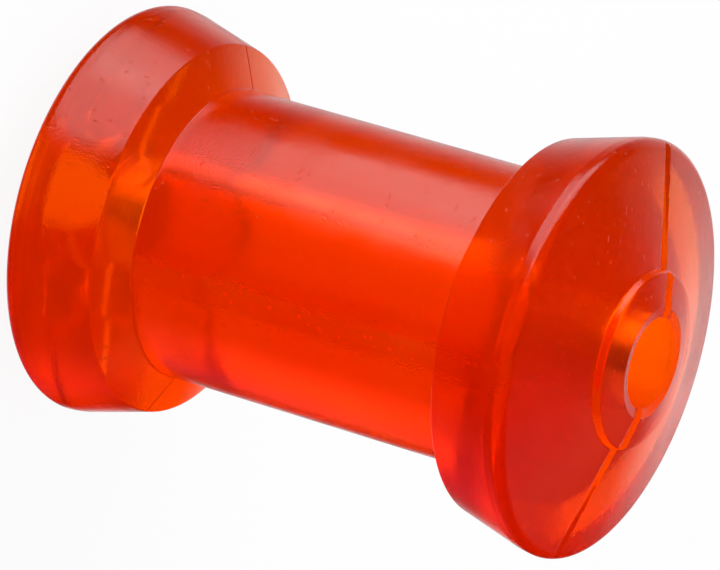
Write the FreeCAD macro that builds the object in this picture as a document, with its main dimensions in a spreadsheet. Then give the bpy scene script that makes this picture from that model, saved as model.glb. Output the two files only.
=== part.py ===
import FreeCAD, Part
import os
import Sketcher

# Keel roller for a boat trailer: one moulding, a straight barrel between two flanges, with a plain bore.
# Lengths are in millimetres and angles in degrees. Z runs along the bore, and X lies in the parting plane.

sizeTable = (
    ("overallLength", 117.0, "from one end land to the other"),
    ("boreRadius", 8.0, "running fit on a 5/8 inch spindle"),
    ("landRadius", 9.9, "outside of the flat ring round the bore"),
    ("bossRadius", 16.0, "end boss, where it meets the cone"),
    ("bossHeight", 1.4, "step from the cone up to the boss face"),
    ("bossDraft", 14.0, "lean of the boss wall"),
    ("bossFaceAngle", 13.0, "fall of the boss face outwards from the land"),
    ("endConeAngle", 14.5, "fall of the end cone outwards from the boss"),
    ("rimRadius", 37.95, "widest part of the flange, before its rounding"),
    ("rimWidth", 15.4, "width of the flange's tread along the axis"),
    ("rimInnerRadius", 33.8, "flange tread at its inner edge"),
    ("innerFaceAngle", 27.5, "lean of the flange's inner face"),
    ("barrelRadius", 26.5, "straight barrel that carries the keel"),
    ("rimRounding", 2.0, "outer edge of the flange"),
    ("bossEdgeBevel", 0.3, "edge of the boss face"),
    ("mouthBevel", 0.4, "mouth of the bore"),
    ("seamWidth", 2.4, "trimmed parting line across the end faces, at the boss"),
    ("seamDepth", 0.35, "how far the parting line is trimmed below the face there"),
    ("seamRunOut", 0.55, "lean of the trimming, which grows shallower and narrower outwards"),
    ("flareWidth", 3.4, "parting line where it runs out into the bore"),
    ("flareDepth", 0.6, "depth of that run-out at the bore wall"),
)

document = FreeCAD.newDocument("keelRoller")
sizes = document.addObject("Spreadsheet::Sheet", "sizes")
for row, (alias, number, note) in enumerate(sizeTable, start=1):
    sizes.set(f"A{row}", alias)
    sizes.set(f"B{row}", str(number))
    sizes.set(f"C{row}", note)
    sizes.setAlias(f"B{row}", alias)
document.recompute()

roller = document.addObject("PartDesign::Body", "roller")
roller.Label = "roller"
originParts = {part.Role: part for part in roller.Origin.OriginFeatures}


def numberOf(expression):
    return float(roller.evalExpression(expression))


# Heights above the middle plane, each worked out from the one outside it.
landZ = "(sizes.overallLength / 2)"
bossEdgeRadius = "(sizes.bossRadius - sizes.bossHeight * tan(sizes.bossDraft))"
bossEdgeZ = f"({landZ} - ({bossEdgeRadius} - sizes.landRadius) * tan(sizes.bossFaceAngle))"
bossFootZ = f"({bossEdgeZ} - sizes.bossHeight)"
rimZ = f"({bossFootZ} - (sizes.rimRadius - sizes.bossRadius) * tan(sizes.endConeAngle))"
rimInnerZ = f"({rimZ} - sizes.rimWidth)"
barrelZ = f"({rimInnerZ} - (sizes.rimInnerRadius - sizes.barrelRadius) * tan(sizes.innerFaceAngle))"


def newSketch(name, plane, offset=None):
    sketch = roller.newObject("Sketcher::SketchObject", name)
    sketch.AttachmentSupport = [(originParts[plane], "")]
    sketch.MapMode = "FlatFace"
    if offset:
        sketch.setExpression("AttachmentOffset.Base.z", offset)
    return sketch


# Holds a point at its radius and height; a height of None lies on the middle plane.
def holdPoint(sketch, piece, end, name, radius, height):
    index = sketch.addConstraint(Sketcher.Constraint("DistanceX", -1, 1, piece, end, numberOf(radius)))
    sketch.renameConstraint(index, f"{name}Radius")
    sketch.setExpression(f"Constraints.{name}Radius", radius)
    if height is None:
        sketch.addConstraint(Sketcher.Constraint("PointOnObject", piece, end, -1))
        return
    index = sketch.addConstraint(Sketcher.Constraint("DistanceY", -1, 1, piece, end, numberOf(height)))
    sketch.renameConstraint(index, f"{name}Height")
    sketch.setExpression(f"Constraints.{name}Height", height)


# Draws a closed outline of straight sides from corner to corner.
def drawOutline(sketch, corners):
    places = [FreeCAD.Vector(numberOf(radius), numberOf(height or "0"), 0) for _, radius, height in corners]
    for n, place in enumerate(places):
        sketch.addGeometry(Part.LineSegment(place, places[(n + 1) % len(places)]), False)
    for n, (name, radius, height) in enumerate(corners):
        sketch.addConstraint(Sketcher.Constraint("Coincident", (n - 1) % len(corners), 2, n, 1))
        holdPoint(sketch, n, 1, name, radius, height)


# Rounds the corner where this side starts, and keeps the sharp corner as the point that is held.
def roundCorner(sketch, side, alias):
    sketch.fillet(side, 1, numberOf(f"sizes.{alias}"), True, True)
    arc = max(n for n, piece in enumerate(sketch.Geometry) if isinstance(piece, Part.ArcOfCircle))
    index = sketch.addConstraint(Sketcher.Constraint("Radius", arc, numberOf(f"sizes.{alias}")))
    sketch.renameConstraint(index, alias)
    sketch.setExpression(f"Constraints.{alias}", f"sizes.{alias}")


# The edge of the boss face is broken by a bevel that takes the same length off both sides.
faceBevelOut = "(sizes.bossEdgeBevel * cos(sizes.bossFaceAngle))"
faceBevelUp = "(sizes.bossEdgeBevel * sin(sizes.bossFaceAngle))"
wallBevelOut = "(sizes.bossEdgeBevel * sin(sizes.bossDraft))"
wallBevelDown = "(sizes.bossEdgeBevel * cos(sizes.bossDraft))"

# Half of the section, from the middle of the bore round to the middle of the barrel.
section = newSketch("halfSection", "XZ_Plane")
sectionCorners = (
    ("boreMiddle", "sizes.boreRadius", None),
    ("mouthWall", "sizes.boreRadius", f"({landZ} - sizes.mouthBevel)"),
    ("mouthLand", "(sizes.boreRadius + sizes.mouthBevel)", landZ),
    ("land", "sizes.landRadius", landZ),
    ("bossFaceEdge", f"({bossEdgeRadius} - {faceBevelOut})", f"({bossEdgeZ} + {faceBevelUp})"),
    ("bossWallEdge", f"({bossEdgeRadius} + {wallBevelOut})", f"({bossEdgeZ} - {wallBevelDown})"),
    ("bossFoot", "sizes.bossRadius", bossFootZ),
    ("rim", "sizes.rimRadius", rimZ),
    ("rimInner", "sizes.rimInnerRadius", rimInnerZ),
    ("barrelEnd", "sizes.barrelRadius", barrelZ),
    ("barrelMiddle", "sizes.barrelRadius", None),
)
drawOutline(section, sectionCorners)
document.recompute()
roundCorner(section, [corner[0] for corner in sectionCorners].index("rim"), "rimRounding")
document.recompute()

turned = roller.newObject("PartDesign::Revolution", "turnedHalf")
turned.Profile = section
turned.ReferenceAxis = (section, ["V_Axis"])
turned.Angle = 360
document.recompute()

# The parting line is a round-bottomed cut by a bar of seamBar radius, whose axis lies seamLift above the face.
seamBar = "((sizes.seamWidth ^ 2 / 4 + sizes.seamDepth ^ 2) / (2 * sizes.seamDepth))"
seamLift = f"({seamBar} - sizes.seamDepth)"


# The bar's end circle, centred on the parting plane and square to a face that falls outwards by this angle.
def drawCutter(name, planeRadius, centreHeight, barRadius, faceAngle=None):
    sketch = newSketch(name, "YZ_Plane", planeRadius)
    sketch.setExpression("AttachmentOffset.Base.y", centreHeight)
    if faceAngle:
        tilt = FreeCAD.Rotation(FreeCAD.Vector(1, 0, 0), numberOf(faceAngle))
        sketch.AttachmentOffset = FreeCAD.Placement(FreeCAD.Vector(), tilt)
        sketch.setExpression("AttachmentOffset.Rotation.Angle", faceAngle)
    sketch.addGeometry(Part.Circle(FreeCAD.Vector(), FreeCAD.Vector(0, 0, 1), numberOf(barRadius)), False)
    sketch.addConstraint(Sketcher.Constraint("Coincident", 0, 3, -1, 1))
    index = sketch.addConstraint(Sketcher.Constraint("Radius", 0, numberOf(barRadius)))
    sketch.renameConstraint(index, "barRadius")
    sketch.setExpression("Constraints.barRadius", barRadius)
    return sketch


# Cuts the parting line along a sloping face, inwards from one radius to another at the bottom of the cut.
def cutSeam(name, faceAngle, faceRadius, faceZ, outerRadius, innerRadius):
    cutAngle = f"({faceAngle} - sizes.seamRunOut)"
    axisRadius = f"({outerRadius} + {seamBar} * sin({cutAngle}))"
    fall = f"({axisRadius} - {faceRadius}) * tan({cutAngle})"
    height = f"({faceZ} - {fall} + {seamLift} / cos({cutAngle}))"
    cutter = drawCutter(f"{name}Cutter", axisRadius, height, seamBar, cutAngle)
    document.recompute()
    pocket = roller.newObject("PartDesign::Pocket", name)
    pocket.Profile = cutter
    pocket.Type = "Length"
    pocket.setExpression("Length", f"({outerRadius} - {innerRadius}) / cos({cutAngle})")
    document.recompute()
    return pocket


# The line stops at the foot of the boss, whose wall is left whole, and starts again at the edge of its face.
outside = f"(sizes.rimRadius + 2 * {seamBar})"
foot, bore = "sizes.bossRadius", "sizes.boreRadius"
coneSeam = cutSeam("coneSeam", "sizes.endConeAngle", foot, bossFootZ, outside, foot)
faceSeam = cutSeam("faceSeam", "sizes.bossFaceAngle", bossEdgeRadius, bossEdgeZ, foot, bore)

# Across the land the line grows wider and deeper, and runs out into the bore.
flareBar = "((sizes.flareWidth ^ 2 / 4 + sizes.flareDepth ^ 2) / (2 * sizes.flareDepth))"
flareStartZ = f"({landZ} + {seamLift})"
flareEndZ = f"({landZ} + {flareBar} - sizes.flareDepth)"
flareStart = drawCutter("flareStart", "sizes.landRadius", flareStartZ, seamBar)
flareEnd = drawCutter("flareEnd", "(sizes.boreRadius - sizes.mouthBevel)", flareEndZ, flareBar)
document.recompute()
flare = roller.newObject("PartDesign::SubtractiveLoft", "seamFlare")
flare.Profile = flareStart
flare.Sections = [flareEnd]
flare.Ruled = True
document.recompute()

bothSides = roller.newObject("PartDesign::PolarPattern", "bothSides")
bothSides.Originals = [coneSeam, faceSeam, flare]
bothSides.Axis = (originParts["Z_Axis"], [""])
bothSides.Angle = 360
bothSides.Occurrences = 2
roller.Tip = bothSides
document.recompute()

wholeRoller = roller.newObject("PartDesign::Mirrored", "wholeRoller")
wholeRoller.TransformMode = "Whole shape"
wholeRoller.MirrorPlane = (originParts["XY_Plane"], [""])
roller.Tip = wholeRoller
roller.setExpression("Placement.Base.z", landZ)
document.recompute()

for item in document.Objects:
    if "Invalid" in item.State or "Error" in item.State:
        raise RuntimeError(f"{item.Name} failed: {item.State}")
for part in (roller,):
    shape = part.Shape
    if shape.isNull() or not shape.isValid() or len(shape.Solids) != 1:
        raise RuntimeError(f"{part.Label} has no sound solid")
    os.makedirs("parts", exist_ok=True)
    shape.exportStep(f"parts/{part.Label}.step")
    box = shape.optimalBoundingBox()
    print(f"{part.Label}: {shape.Volume / 1000:.2f} cm3, {len(shape.Faces)} faces,"
          f" {box.XLength:.2f} x {box.YLength:.2f} x {box.ZLength:.2f} mm")
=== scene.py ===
import math
import bpy
from mathutils import Matrix, Vector


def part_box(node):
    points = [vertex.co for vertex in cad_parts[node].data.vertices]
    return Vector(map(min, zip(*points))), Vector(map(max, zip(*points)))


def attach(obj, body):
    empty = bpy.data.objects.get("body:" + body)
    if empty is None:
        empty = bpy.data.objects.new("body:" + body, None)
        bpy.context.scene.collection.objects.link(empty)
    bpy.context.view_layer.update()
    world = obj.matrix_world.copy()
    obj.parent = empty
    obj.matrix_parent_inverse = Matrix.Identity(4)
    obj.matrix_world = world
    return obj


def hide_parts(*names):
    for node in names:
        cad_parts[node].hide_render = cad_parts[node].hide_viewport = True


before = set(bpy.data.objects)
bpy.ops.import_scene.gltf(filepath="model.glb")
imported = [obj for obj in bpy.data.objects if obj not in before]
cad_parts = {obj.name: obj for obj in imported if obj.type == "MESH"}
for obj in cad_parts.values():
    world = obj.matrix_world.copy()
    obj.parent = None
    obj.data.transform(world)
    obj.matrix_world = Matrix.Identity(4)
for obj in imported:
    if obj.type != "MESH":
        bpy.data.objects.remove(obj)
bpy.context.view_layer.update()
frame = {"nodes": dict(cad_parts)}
lowest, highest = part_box("roller")
rollerMiddle = (lowest + highest) / 2
perMetre = 1000  # the roller's form is written in millimetres
print("frame loaded:", ", ".join(frame["nodes"]))


class Wire:  # one socket of a node tree; sums written with it add Math nodes

    def __init__(self, tree, socket=None):
        self.tree = tree
        self.socket = socket

    def node(self, kind, settings=None, inputs=None, output=0):  # adds any node and gives one of its outputs
        made = self.tree.nodes.new(kind)
        for name, value in (settings or {}).items():
            setattr(made, name, value)
        for name, value in (inputs or {}).items():
            if isinstance(value, Wire):
                self.tree.links.new(value.socket, made.inputs[name])
            else:
                made.inputs[name].default_value = value
        return Wire(self.tree, made.outputs[output]) if made.outputs else None

    def maths(self, operation, first, second=0.0):
        return self.node("ShaderNodeMath", {"operation": operation}, {0: first, 1: second})

    def __add__(self, other):
        return self.maths("ADD", self, other)

    def __radd__(self, other):
        return self.maths("ADD", other, self)

    def __sub__(self, other):
        return self.maths("SUBTRACT", self, other)

    def __rsub__(self, other):
        return self.maths("SUBTRACT", other, self)

    def __mul__(self, other):
        return self.maths("MULTIPLY", self, other)

    def __rmul__(self, other):
        return self.maths("MULTIPLY", other, self)

    def between(self, low, high, fromValue=0.0, toValue=1.0):  # smooth step from one level to another
        return self.node("ShaderNodeMapRange", {"interpolation_type": "SMOOTHSTEP"}, {
            "Value": self, "From Min": low, "From Max": high, "To Min": fromValue, "To Max": toValue})


def newSheet(owner):  # empties a material's or world's node tree
    owner.use_nodes = True
    owner.node_tree.nodes.clear()
    return Wire(owner.node_tree)


def newPiece(name, points, faces, place=(0, 0, 0)):
    mesh = bpy.data.meshes.new(name)
    mesh.from_pydata(points, [], faces)
    piece = bpy.data.objects.new(name, mesh)
    piece.location = place
    bpy.context.scene.collection.objects.link(piece)
    return piece


def noise(place, scale, detail=0.0, roughness=0.5):
    return place.node("ShaderNodeTexNoise", {}, {
        "Vector": place, "Scale": scale, "Detail": detail, "Roughness": roughness}, "Fac")


def mixColour(share, first, second):
    return share.node("ShaderNodeMix", {"data_type": "RGBA"}, {"Factor": share, 6: first, 7: second}, 2)


def mixShader(sheet, share, first, second):
    return sheet.node("ShaderNodeMixShader", {}, {0: share, 1: first, 2: second})


def reachAlong(place, axis):  # how far a place lies in one direction
    return place.node("ShaderNodeVectorMath", {"operation": "DOT_PRODUCT"}, {0: place, 1: axis}, "Value")


def lengthAlong(place, axes):  # how far a place lies from the origin, in the axes given as 1
    kept = place.node("ShaderNodeVectorMath", {"operation": "MULTIPLY"}, {0: place, 1: axes})
    return kept.node("ShaderNodeVectorMath", {"operation": "LENGTH"}, {0: kept}, "Value")


def fading(level, edge):  # 1 before a soft edge and 0 after it
    return level.between(*edge, 1.0, 0.0)


def within(level, start, end):  # 1 between two soft edges
    return level.between(*start) * fading(level, end)


rollerForm = {  # millimetres and degrees; heights come from these, outwards from the bore
    "boreRadius": 8.0,
    "landRadius": 9.9,
    "bossRadius": 16.0,
    "bossHeight": 1.4,
    "bossDraft": 14.0,
    "bossFaceAngle": 13.0,
    "endConeAngle": 14.5,
    "rimRadius": 37.95,
    "rimWidth": 15.4,
    "rimInnerRadius": 33.8,
    "innerFaceAngle": 27.5,
    "barrelRadius": 26.5,
    "mouthDish": 0.3,
    "mouthRounding": 0.35,
    "landRounding": 0.6,
    "bossEdgeRounding": 0.45,
    "bossFootRounding": 0.4,
    "rimRounding": 2.0,
    "shoulderReach": 3.2,  # how far before the rim the tread starts to lean in, and by how much
    "shoulderTurn": 6.5,
    "shoulderRounding": 2.0,
    "rimInnerRounding": 0.5,
    "barrelEndRounding": 0.5,
    "seamWidth": 2.4,  # the trimmed parting line at the boss edge and foot
    "seamDepth": 0.62,
    "seamRunOut": 0.45,  # it leans by this, so it grows shallower outwards
    "flareWidth": 3.4,  # the same line where it runs into the bore
    "flareDepth": 0.8,
    "flareFade": 3.0,
    "lineWidth": 0.36,  # the fine parting line on the treads, the inner faces and the barrel
    "lineDepth": 0.1,
    "supportLoop": 0.12,  # a loop this close to each corner holds its rounding
    "shortestSide": 0.48,  # a shorter one gets no points between its corners
    "longestSide": 5.0,
    "arcStep": 9.0,
    "sharpFrom": 14.0,
    "turnSteps": ((0.4, 0.05), (4.6, 0.2), (14.0, 0.6), (90.0, 1.9)),  # up to an angle, the step
}


def fallOf(form, angleName):
    return math.tan(math.radians(form[angleName]))


def halfSection(form, landHeight):  # corners of the upper half: radius, height above the middle, rounding
    coneFall, innerFall = fallOf(form, "endConeAngle"), fallOf(form, "innerFaceAngle")
    edgeRadius = form["bossRadius"] - form["bossHeight"] * fallOf(form, "bossDraft")
    edgeHeight = landHeight - (edgeRadius - form["landRadius"]) * fallOf(form, "bossFaceAngle")
    footHeight = edgeHeight - form["bossHeight"]
    rimHeight = footHeight - (form["rimRadius"] - form["bossRadius"]) * coneFall
    innerHeight = rimHeight - form["rimWidth"]
    barrelHeight = innerHeight - (form["rimInnerRadius"] - form["barrelRadius"]) * innerFall
    rim = Vector((form["rimRadius"], rimHeight))
    tread = (rim - Vector((form["rimInnerRadius"], innerHeight))).normalized()
    shoulder = rim - tread * form["shoulderReach"]
    lean = Matrix.Rotation(math.radians(form["shoulderTurn"]), 2) @ tread
    toCone = (rim - shoulder).y + (rim - shoulder).x * coneFall
    rim = shoulder + lean * toCone / (lean.y + lean.x * coneFall)
    return (
        ("boreMiddle", form["boreRadius"], 0.0, 0.0),
        ("mouth", form["boreRadius"], landHeight - form["mouthDish"], form["mouthRounding"]),
        ("land", form["landRadius"], landHeight, form["landRounding"]),
        ("bossEdge", edgeRadius, edgeHeight, form["bossEdgeRounding"]),
        ("bossFoot", form["bossRadius"], footHeight, form["bossFootRounding"]),
        ("rim", rim.x, rim.y, form["rimRounding"]),
        ("rimShoulder", shoulder.x, shoulder.y, form["shoulderRounding"]),
        ("rimInner", form["rimInnerRadius"], innerHeight, form["rimInnerRounding"]),
        ("barrelEnd", form["barrelRadius"], barrelHeight, form["barrelEndRounding"]),
        ("barrelMiddle", form["barrelRadius"], 0.0, 0.0),
    )


def cornerArc(before, corner, after, rounding, arcStep):  # tangent arc that replaces a corner
    back = (before - corner).normalized()
    onward = (after - corner).normalized()
    bend = math.pi - back.angle(onward)
    reach = rounding * math.tan(bend / 2)
    centre = corner + (back + onward).normalized() * (rounding / math.cos(bend / 2))
    start = corner + back * reach - centre
    side = 1 if back.x * onward.y - back.y * onward.x < 0 else -1
    count = max(2, math.ceil(math.degrees(bend) / arcStep))
    return [centre + Matrix.Rotation(side * bend * n / count, 2) @ start for n in range(count + 1)]


def filledSide(start, end, form):  # points between two corners: a loop close to each, and even steps between
    length = (end - start).length
    if length < form["shortestSide"]:
        return []
    near = form["supportLoop"] / length
    count = max(1, math.ceil(length / form["longestSide"]))
    shares = [near] + [n / count for n in range(1, count)] + [1 - near]
    return [start.lerp(end, share) for share in shares]


def roundedSection(corners, form):  # half section as a line of points, each with the name of its stretch
    places = [Vector((radius, height)) for _, radius, height, _ in corners]
    stretches = [("boreMiddle", [places[0]])]
    for n, (name, _, _, rounding) in enumerate(corners[1:-1], 1):
        stretches.append((name, cornerArc(*places[n - 1:n + 2], rounding, form["arcStep"])))
    stretches.append(("barrelMiddle", [places[-1]]))
    line = []
    for (name, arc), (_, nextArc) in zip(stretches, stretches[1:]):
        line += [(name, place) for place in arc]
        line += [(f"{name}Side", place) for place in filledSide(arc[-1], nextArc[0], form)]
    return line + [("barrelMiddle", places[-1])]


def barOf(width, depth):  # radius of a round bar that cuts this width and depth, and its axis above the face
    radius = (width ** 2 / 4 + depth ** 2) / (2 * depth)
    return radius, radius - depth


endStretches = ("land", "landSide", "bossEdge", "bossEdgeSide", "bossFoot", "bossFootSide", "rim")
boreStretches = ("boreMiddleSide", "mouth", "mouthSide", "land")


def endCut(form, name, place, corners, acrossPlane):  # how far the trimmed line sinks a point of the end
    bar, lift = barOf(form["seamWidth"], form["seamDepth"])
    if name not in endStretches or acrossPlane >= bar:
        return Vector((0.0, 0.0))
    onFace = name.startswith(("land", "bossEdge"))
    start = corners["bossEdge" if onFace else "bossFoot"]
    fall = math.radians(form["bossFaceAngle" if onFace else "endConeAngle"])
    out = Vector((math.cos(fall), -math.sin(fall)))
    down = Vector((-math.sin(fall), -math.cos(fall)))
    below = max(0.0, (place - start).dot(down))
    lift += (place - start).dot(out) * math.sin(math.radians(form["seamRunOut"]))
    return down * max(0.0, math.sqrt(bar ** 2 - acrossPlane ** 2) - lift - below)


def mouthCut(form, name, place, corners, acrossPlane):  # the same where the line flares into the bore
    seamBar, seamLift = barOf(form["seamWidth"], form["seamDepth"])
    flareBar, flareLift = barOf(form["flareWidth"], form["flareDepth"])
    share = min(1.0, (form["landRadius"] - place.x) / (form["landRadius"] - form["boreRadius"]))
    bar = seamBar + (flareBar - seamBar) * share
    lift = seamLift + (flareLift - seamLift) * share
    if name not in boreStretches or acrossPlane >= bar:
        return Vector((0.0, 0.0))
    below = corners["land"].y - place.y
    depth = math.sqrt(bar ** 2 - acrossPlane ** 2) - lift
    depth *= max(0.0, 1 - below / form["flareFade"])
    depth -= form["mouthDish"] * share if name == "mouthSide" else below
    return Vector((0.0, -max(0.0, depth)))


def seamShift(form, name, place, corners, acrossPlane):  # the deeper of the two cuts
    cuts = (cut(form, name, place, corners, acrossPlane) for cut in (endCut, mouthCut))
    return max(cuts, key=lambda shift: shift.length)


def lineShift(form, normal, acrossPlane):  # the fine parting line where it isn't trimmed
    share = 1 - (2 * acrossPlane / form["lineWidth"]) ** 2
    return normal * (-form["lineDepth"] * share) if share > 0 else Vector((0.0, 0.0))


def turnAngles(steps):  # crowded on both sides of the parting plane
    quarter, reached = [], 0.0
    for limit, step in steps:
        count = round((limit - reached) / step)
        quarter += [reached + (limit - reached) * n / count for n in range(count)]
        reached = limit
    half = quarter + [90.0] + [180.0 - angle for angle in reversed(quarter)]
    return [math.radians(angle) for angle in half[:-1] + [180.0 + angle for angle in half[:-1]]]


def ringFaces(tall, wide):  # quads of a form that closes both ways
    faces = []
    for n in range(tall):
        row, nextRow = n * wide, (n + 1) % tall * wide
        for m in range(wide):
            after = (m + 1) % wide
            faces.append((row + m, nextRow + m, nextRow + after, row + after))
    return faces


def makeRoller(form):
    middle = (lowest.z + highest.z) / 2
    cornerList = halfSection(form, (highest.z - lowest.z) / 2 * perMetre)
    corners = {name: Vector((radius, height)) for name, radius, height, _ in cornerList}
    upper = roundedSection(cornerList, form)
    lower = [(name, Vector((place.x, -place.y))) for name, place in reversed(upper[1:-1])]
    ring = [(name, place, 1) for name, place in upper] + [(name, place, -1) for name, place in lower]
    angles = turnAngles(form["turnSteps"])
    points = []
    for n, (name, place, side) in enumerate(ring):
        ahead = ring[(n + 1) % len(ring)][1] - ring[n - 1][1]
        normal = Vector((-ahead.y, ahead.x)).normalized()
        upright = Vector((place.x, place.y * side))
        for angle in angles:
            acrossPlane = abs(place.x * math.sin(angle))
            if name.startswith(("rimS", "rimI", "barrel")):
                shift = lineShift(form, normal, acrossPlane)
            else:
                shift = seamShift(form, name, upright, corners, acrossPlane)
                shift.y *= side
            radius, height = place + shift
            across, aside = radius * math.cos(angle) / perMetre, radius * math.sin(angle) / perMetre
            points.append((across, aside, middle + height / perMetre))
    faces = ringFaces(len(ring), len(angles))
    roller = newPiece("rollerMoulding", points, faces)
    roller.data.validate()
    roller.data.shade_smooth()
    roller.data.set_sharp_from_angle(angle=math.radians(form["sharpFrom"]))
    print(f"roller: {len(ring)} points in the section, {len(faces) * 2} triangles")
    return roller


polyurethane = {
    "clearRed": (1.0, 0.235, 0.003, 1.0),
    # the darker red gives random tone through the cloud, and painted shade towards one side
    "toneAndShadeRed": (1.0, 0.09, 0.002, 1.0),
    "deepSide": (-1.0, 0.1, 0.0),  # painted shade: the body turns deeper red towards the side that is low in the picture
    "paintedShadeRise": 14.0,  # per metre towards that side, for the painted shade
    "toneAndShadeSpan": (0.4, 1.0),
    "cloudScale": 35.0,
    "boreRedPaintedLight": (1.0, 0.46, 0.03, 1.0),  # painted light: a lighter tint, as light through the barrel passes the bore's wall twice
    "boreWall": (0.0082, 0.0088),  # metres from the axis, where the painted lighter tint ends
    "boreLength": (0.041, 0.046),  # metres from the middle, the same
    "absorption": (0.9, 33.0, 80.0),  # per metre, in red, green and blue
    "refraction": 1.5,
    "clearShare": 1.0,
    "haze": 25.0,  # scattering per metre
    "hazeColour": (1.0, 0.8, 0.6, 1.0),
    "hazeForward": 0.6,
    "smooth": 0.12,  # roughness of the smoothest and the dullest places
    "dull": 0.22,
    "wearScale": 120.0,
    "wearSpan": (0.3, 0.7),
    "peelSize": 2.0,  # sizes and depths of orange peel, grain and pits in millimetres
    "peelDepth": 0.02,
    "peelRoughness": 0.45,
    "grainSize": 0.4,
    "grainDepth": 0.03,
    "grainScale": 120.0,  # of the patches that have grain
    "grainSpan": (0.4, 0.65),
    "pitSize": 1.1,
    "pitDepth": 0.05,
    "pitSpan": (0.745, 0.825),  # higher makes them rarer
}


def makePolyurethane(values):
    material = bpy.data.materials.new("redPolyurethane")
    sheet = newSheet(material)
    place = sheet.node("ShaderNodeTexCoord", output="Object")
    fromMiddle = sheet.node("ShaderNodeVectorMath", {"operation": "SUBTRACT"}, {0: place, 1: rollerMiddle})
    cloud = noise(place, values["cloudScale"], 1.0)
    # random tone from the cloud, plus painted shade: deeper red towards the side that is low in the picture
    deep = cloud + reachAlong(fromMiddle, values["deepSide"]) * values["paintedShadeRise"]
    colour = mixColour(deep.between(*values["toneAndShadeSpan"]), values["clearRed"], values["toneAndShadeRed"])
    # painted light: a lighter tint around the bore's middle
    bore = (fading(lengthAlong(fromMiddle, (1, 1, 0)), values["boreWall"])
            * fading(lengthAlong(fromMiddle, (0, 0, 1)), values["boreLength"]))
    colour = mixColour(bore, colour, values["boreRedPaintedLight"])
    wear = noise(place, values["wearScale"], 2.0)
    peel = noise(place, perMetre / values["peelSize"], 1.0, values["peelRoughness"])
    grain = noise(place, perMetre / values["grainSize"])
    patch = noise(place, values["grainScale"])
    pit = noise(place, perMetre / values["pitSize"])
    height = (peel * (values["peelDepth"] / perMetre)
              + pit.between(*values["pitSpan"], 0.0, -values["pitDepth"] / perMetre)
              + grain * patch.between(*values["grainSpan"]) * (values["grainDepth"] / perMetre))
    body = sheet.node("ShaderNodeBsdfPrincipled", {}, {
        "Base Color": colour,
        "Roughness": wear.between(*values["wearSpan"], values["smooth"], values["dull"]),
        "IOR": values["refraction"],
        "Transmission Weight": values["clearShare"],
        "Normal": sheet.node("ShaderNodeBump", {}, {"Height": height, "Distance": 1.0}, "Normal"),
    })
    strongest = max(values["absorption"])
    depth = sheet.node("ShaderNodeVolumeAbsorption", {}, {
        "Color": [1 - share / strongest for share in values["absorption"]] + [1.0], "Density": strongest})
    haze = sheet.node("ShaderNodeVolumeScatter", {}, {
        "Color": values["hazeColour"], "Density": values["haze"], "Anisotropy": values["hazeForward"]})
    inside = sheet.node("ShaderNodeAddShader", {}, {0: depth, 1: haze})
    sheet.node("ShaderNodeOutputMaterial", {}, {"Surface": body, "Volume": inside})
    print("polyurethane mixed")
    return material


roller = makeRoller(rollerForm)
roller.data.materials.append(makePolyurethane(polyurethane))
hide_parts("roller")
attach(roller, "root")

cameraView = {  # millimetres for the lens, and otherwise metres and degrees
    "lens": 303.8,
    "sensorWidth": 36.0,
    "distance": 1.0652,
    "right": 0.0003,  # the roller's middle from the middle of the picture
    "down": -0.0013,
    "tipAngle": 27.64,  # how far the upper end leans towards the camera
    "slopeAngle": 16.53,  # fall of the axis in the picture, down to the right
    "turnAngle": -5.18,  # parting plane from the picture's upward direction
}


def cameraAxes(values):  # X, Y and Z of the roller, seen by the camera: right, down and away
    tip, slope = math.radians(values["tipAngle"]), math.radians(values["slopeAngle"])
    along = Vector((math.cos(tip) * math.cos(slope), math.cos(tip) * math.sin(slope), -math.sin(tip)))
    pictureUp = Vector((0.0, -1.0, 0.0))
    upward = (pictureUp - along * pictureUp.dot(along)).normalized()
    across = along.cross(upward)
    turn = math.radians(values["turnAngle"])
    seamward = upward * math.cos(turn) + across * math.sin(turn)
    return seamward, along.cross(seamward), along


def pictureAxes():  # the picture's right, up and away, as directions in the roller's frame
    axes = cameraAxes(cameraView)
    right, down, away = (Vector([axis[n] for axis in axes]) for n in range(3))
    return right, -down, away


def placeCamera(values):
    camera = bpy.data.objects.new("camera", bpy.data.cameras.new("camera"))
    bpy.context.scene.collection.objects.link(camera)
    camera.data.lens = values["lens"]
    camera.data.sensor_width = values["sensorWidth"]
    right, up, away = pictureAxes()
    toRoller = right * values["right"] - up * values["down"] + away * values["distance"]
    turn = Matrix((right, up, -away)).transposed().to_4x4()
    camera.matrix_world = Matrix.Translation(rollerMiddle - toRoller) @ turn
    bpy.context.scene.camera = camera
    print("camera placed:", [round(c, 3) for c in camera.matrix_world.translation])


def rayIs(sheet, kind):
    return sheet.node("ShaderNodeLightPath", {}, {}, kind)


def seenDirectly(sheet):  # 1 for what the camera sees, also in a reflection or through the roller
    seen = rayIs(sheet, "Is Camera Ray")
    for kind in ("Is Glossy Ray", "Is Transmission Ray"):
        seen = sheet.maths("MAXIMUM", seen, rayIs(sheet, kind))
    return seen


def glow(sheet, colour, strength):
    return sheet.node("ShaderNodeEmission", {}, {"Color": colour, "Strength": strength})


def dress(piece, name):  # a new material that isn't counted as a lamp
    material = bpy.data.materials.new(name)
    material.cycles.emission_sampling = "NONE"
    piece.data.materials.append(material)
    return newSheet(material)


plainWhite = (1.0, 1.0, 1.0, 1.0)

whiteFloor = {
    "size": 12.0,
    "grey": 0.8,
    "glowShare": 0.92,  # share of the floor's white that doesn't depend on the lamp
}


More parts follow.
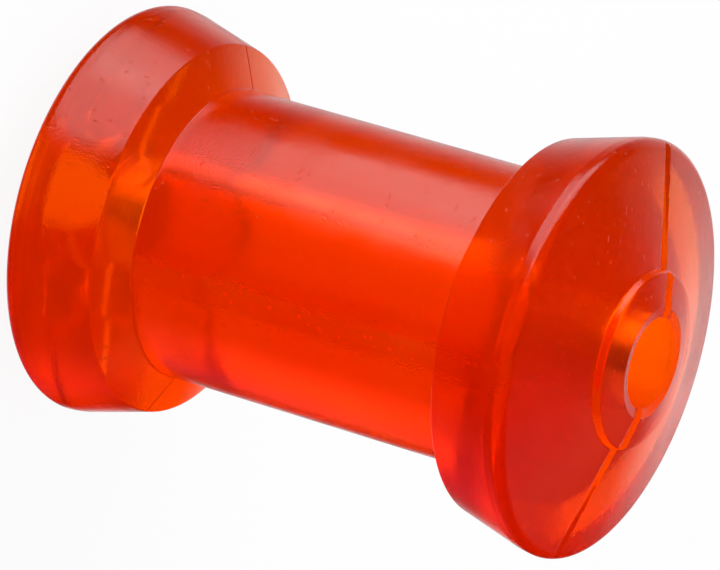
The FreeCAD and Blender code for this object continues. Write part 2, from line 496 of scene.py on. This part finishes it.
def makeFloor(values):
    half = values["size"] / 2
    corners = [(-half, -half, 0), (half, -half, 0), (half, half, 0), (-half, half, 0)]
    floor = newPiece("floor", corners, [(0, 1, 2, 3)])
    sheet = dress(floor, "whitePaper")
    paper = sheet.node("ShaderNodeBsdfDiffuse", {}, {"Color": [values["grey"]] * 3 + [1.0]})
    share = seenDirectly(sheet) * values["glowShare"]
    sheet.node("ShaderNodeOutputMaterial", {}, {
        "Surface": mixShader(sheet, share, paper, glow(sheet, plainWhite, 1.0))})
    floor.visible_glossy = floor.visible_transmission = False


clothLight = {  # of the soft box and the tent
    "throughShare": 2.0,  # more of it passes the clear body than shows in the gloss
    "strongest": 10.0,
    "red": (1.5, 0.3, 1.0, 1.0),  # light that the roller itself throws on the paper before it
}


# extra is for what passes the clear body only, and red for what shows in the gloss only
def hang(cloth, sheet, level, extra=0.0, redShare=0.0):
    through = rayIs(sheet, "Is Transmission Ray")
    level = level * (1 + through * (clothLight["throughShare"] - 1)) + through * extra
    bright = mixShader(sheet, redShare * (1 - through), glow(sheet, plainWhite, clothLight["strongest"]),
                       glow(sheet, clothLight["red"], clothLight["strongest"]))
    light = mixShader(sheet, level * (1 / clothLight["strongest"]), glow(sheet, plainWhite, 0.0), bright)
    sheet.node("ShaderNodeOutputMaterial", {}, {"Surface": light})
    cloth.visible_camera = cloth.visible_diffuse = cloth.visible_shadow = cloth.visible_volume_scatter = False


softBox = {  # metres across and along the box's cloth, from the point opposite the roller's middle
    "distance": 0.22,
    "leanLeft": 45.0,  # degrees
    "leanAway": 15.0,
    "across": (0.0, 0.6),
    "along": (-0.36, 0.08),
    "backEdge": (0.0, 0.077),
    "leftEdge": (0.0, 0.066),
    "rightEdge": (0.5, 0.6),
    "cornerEdge": (0.098, 0.114),
    "cornerTurn": 42.0,
    "level": 2.2,
    "lampLevel": 1.5,  # more where the lamp behind the cloth shows
    "lampPlace": (0.198, -0.11, 0.0),
    "lampReach": (0.0, 0.09),
}


def makeSoftBox(values):
    right, up, away = pictureAxes()
    outward = (up + away * math.tan(math.radians(values["leanAway"]))
               - right * math.tan(math.radians(values["leanLeft"]))).normalized()
    across = away.cross(outward).normalized()
    across *= math.copysign(1, across.dot(right))
    deep = (away - outward * away.dot(outward)).normalized()
    (left, rightmost), (front, back) = values["across"], values["along"]
    corners = [(left, front, 0), (rightmost, front, 0), (rightmost, back, 0), (left, back, 0)]
    box = newPiece("softBox", corners, [(0, 1, 2, 3)])
    turn = Matrix((across, deep, across.cross(deep))).transposed().to_4x4()
    box.matrix_world = Matrix.Translation(rollerMiddle + outward * values["distance"]) @ turn
    sheet = dress(box, "softBoxCloth")
    place = sheet.node("ShaderNodeTexCoord", output="Object")
    lamp = sheet.node("ShaderNodeVectorMath", {"operation": "DISTANCE"}, {
        0: place, 1: values["lampPlace"]}, "Value")
    corner = math.radians(values["cornerTurn"])
    edges = (within(reachAlong(place, (1, 0, 0)), values["leftEdge"], values["rightEdge"])
             * fading(reachAlong(place, (0, 1, 0)), values["backEdge"])
             * reachAlong(place, (math.cos(corner), -math.sin(corner), 0)).between(*values["cornerEdge"]))
    hang(box, sheet, (fading(lamp, values["lampReach"]) * values["lampLevel"] + values["level"]) * edges)


tentCloth = {  # degrees to the right of straight away, and above the horizon, as the picture has them
    "radius": 2.5,
    "sides": 48,
    "rows": 24,
    "backdropLeft": (-60.0, -40.0),
    "backdropRight": (46.0, 71.0),
    "backdropFoot": (-24.0, -7.0),
    "backdropTop": (22.0, 56.0),
    "backdropLevel": 0.65,
    "spotLeft": (5.0, 22.0),
    "spotRight": (30.0, 40.0),
    "spotLevel": 0.16,  # more than the rest of the backdrop, where a lamp shines on it
    "tableRight": (0.5, 0.85),  # shares of the radius, to the right and away
    "tableAway": (0.04, 0.16),
    "tableTop": (-31.0, -15.0),
    "tableLevel": 0.18,
    "paperLeft": (-90.0, -60.0),  # paper in front, to the left
    "paperRight": (-26.0, -8.0),
    "paperFoot": (-58.0, -32.0),
    "paperTop": (-27.0, -12.0),
    "paperLevel": (0.04, 0.11),
    "lowSpan": (-23.0, -10.0),  # light from below, the sides and above that only the clear body passes
    "highSpan": (26.0, 42.0),
    "lowLevel": 0.98,
    "sideLevel": 0.08,
    "highLevel": 2.8,
}


def makeTent(values):
    radius, wide, tall = values["radius"], values["sides"], values["rows"]
    points, faces = [], []
    for n in range(tall + 1):
        for m in range(wide):
            turn, rise = math.tau * m / wide, math.pi * (n / tall - 0.5)
            points.append(Vector((math.cos(turn) * math.cos(rise), math.sin(turn) * math.cos(rise),
                                  math.sin(rise))) * radius)
    for row in range(0, tall * wide, wide):
        for m in range(wide):
            after = (m + 1) % wide
            faces.append((row + m, row + after, row + wide + after, row + wide + m))
    tent = newPiece("lightTent", points, faces, rollerMiddle)
    sheet = dress(tent, "tentCloth")
    place = sheet.node("ShaderNodeTexCoord", output="Object")
    right, up, away = (reachAlong(place, axis) * (1 / radius) for axis in pictureAxes())
    turn = sheet.maths("ARCTAN2", right, away) * math.degrees(1)
    rise = sheet.maths("ARCSINE", up) * math.degrees(1)
    spot = within(turn, values["spotLeft"], values["spotRight"]) * values["spotLevel"]
    backdrop = ((spot + values["backdropLevel"])
                * within(turn, values["backdropLeft"], values["backdropRight"])
                * within(rise, values["backdropFoot"], values["backdropTop"]))
    table = (right.between(*values["tableRight"]) * away.between(*values["tableAway"])
             * fading(rise, values["tableTop"]) * values["tableLevel"])
    front = fading(turn, values["paperRight"]) * fading(rise, values["paperTop"])
    paper = (front * turn.between(*values["paperLeft"])
             * rise.between(*values["paperFoot"], *values["paperLevel"]))
    extra = (rise.between(*values["lowSpan"], values["lowLevel"], values["sideLevel"])
             + rise.between(*values["highSpan"], 0.0, values["highLevel"]))
    hang(tent, sheet, backdrop + table + paper, extra, front)


studioLight = {
    "ambient": 0.8,
    "lampPower": 5.0,
    "lampSize": 0.7,
    "lampDistance": 0.8,
    "lampTurn": 10.0,  # degrees from the picture's upward side towards the camera
    "lampRise": 40.0,
}


def makeWorld(values):
    world = bpy.data.worlds.new("studio")
    bpy.context.scene.world = world
    sheet = newSheet(world)
    light, white = (sheet.node("ShaderNodeBackground", {}, {"Color": plainWhite, "Strength": strength})
                    for strength in (values["ambient"], 1.0))
    sheet.node("ShaderNodeOutputWorld", {}, {"Surface": mixShader(sheet, seenDirectly(sheet), light, white)})


def makeLamp(values):
    lamp = bpy.data.lights.new("softLamp", "AREA")
    lamp.energy = values["lampPower"]
    lamp.size = values["lampSize"]
    holder = bpy.data.objects.new("softLamp", lamp)
    bpy.context.scene.collection.objects.link(holder)
    turn = math.radians(values["lampTurn"] - cameraView["turnAngle"])
    rise = math.radians(values["lampRise"])
    side = Vector((math.cos(turn) * math.cos(rise), math.sin(turn) * math.cos(rise), math.sin(rise)))
    holder.location = rollerMiddle + side * values["lampDistance"]
    holder.rotation_mode = "QUATERNION"
    holder.rotation_quaternion = side.to_track_quat("Z", "Y")
    holder.visible_glossy = holder.visible_transmission = False


placeCamera(cameraView)
makeFloor(whiteFloor)
makeSoftBox(softBox)
makeTent(tentCloth)
makeWorld(studioLight)
makeLamp(studioLight)
print("floor, soft box, tent, world and lamp made")

bounces = {"max_bounces": 16, "transmission_bounces": 12, "glossy_bounces": 6, "volume_bounces": 8}
for kind, count in bounces.items():
    setattr(bpy.context.scene.cycles, kind, count)
bpy.context.scene.view_settings.view_transform = "Standard"
